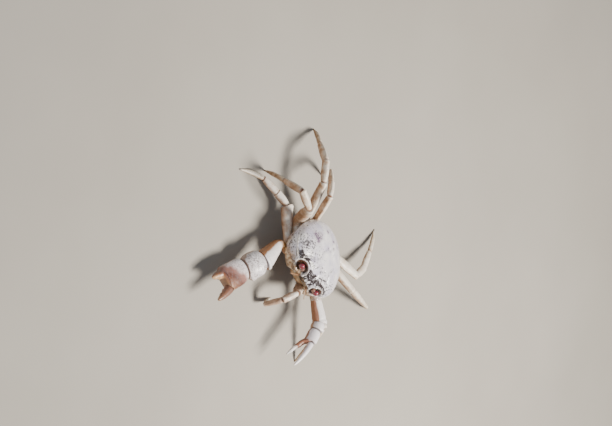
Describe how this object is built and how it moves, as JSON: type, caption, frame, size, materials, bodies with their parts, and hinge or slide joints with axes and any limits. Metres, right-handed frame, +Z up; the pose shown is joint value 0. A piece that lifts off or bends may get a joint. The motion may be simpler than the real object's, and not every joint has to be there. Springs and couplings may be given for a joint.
{
  "type": "land crab",
  "caption": "Life-size land crab standing with its front raised, one large and one small claw held forward, for display or a scene.",
  "frame": {"origin": "middle of the crab's outline on the floor, at floor level", "axes": "+Z up from the floor, +X to the crab's left, -Y the way the crab faces; the body is pitched front up and rolled slightly to its left"},
  "size_m": [0.2364, 0.2136, 0.0589],
  "materials": {
    "shell": "chalky lilac-white back shell with fine dark speckles, lightly polished",
    "limb": "cream to tan limb shell with ochre undersides, satin",
    "claw": "white claw shell flushing pink-brown towards the fingers, satin",
    "finger": "tan to pinkish finger shell, worn smooth",
    "underside": "ochre face and underside, matt",
    "cornea": "dark red glossy cornea"
  },
  "bodies": {
    "root": {"antenna_left": "limb", "antenna_right": "limb", "carapace": "shell", "claw_left_carpus": "claw", "claw_left_dactyl": "finger", "claw_left_hand": "claw", "claw_left_merus": "limb", "claw_right_carpus": "claw", "claw_right_dactyl": "finger", "claw_right_hand": "claw", "claw_right_merus": "limb", "eye_left": "cornea", "eye_right": "cornea", "eyestalk_left": "shell", "eyestalk_right": "shell", "leg_left_1_carpus": "limb", "leg_left_1_dactyl": "limb", "leg_left_1_merus": "limb", "leg_left_1_propodus": "limb", "leg_left_2_carpus": "limb", "leg_left_2_dactyl": "limb", "leg_left_2_merus": "limb", "leg_left_2_propodus": "limb", "leg_left_3_carpus": "limb", "leg_left_3_dactyl": "limb", "leg_left_3_merus": "limb", "leg_left_3_propodus": "limb", "leg_left_4_carpus": "limb", "leg_left_4_dactyl": "limb", "leg_left_4_merus": "limb", "leg_left_4_propodus": "limb", "leg_right_1_carpus": "limb", "leg_right_1_dactyl": "limb", "leg_right_1_merus": "limb", "leg_right_1_propodus": "limb", "leg_right_2_carpus": "limb", "leg_right_2_dactyl": "limb", "leg_right_2_merus": "limb", "leg_right_2_propodus": "limb", "leg_right_3_carpus": "limb", "leg_right_3_dactyl": "limb", "leg_right_3_merus": "limb", "leg_right_3_propodus": "limb", "leg_right_4_carpus": "limb", "leg_right_4_dactyl": "limb", "leg_right_4_merus": "limb", "leg_right_4_propodus": "limb", "mouth_plate_left": "underside", "mouth_plate_right": "underside", "tail_flap": "underside", "underbody": "underside"}
  },
  "joints": []
}
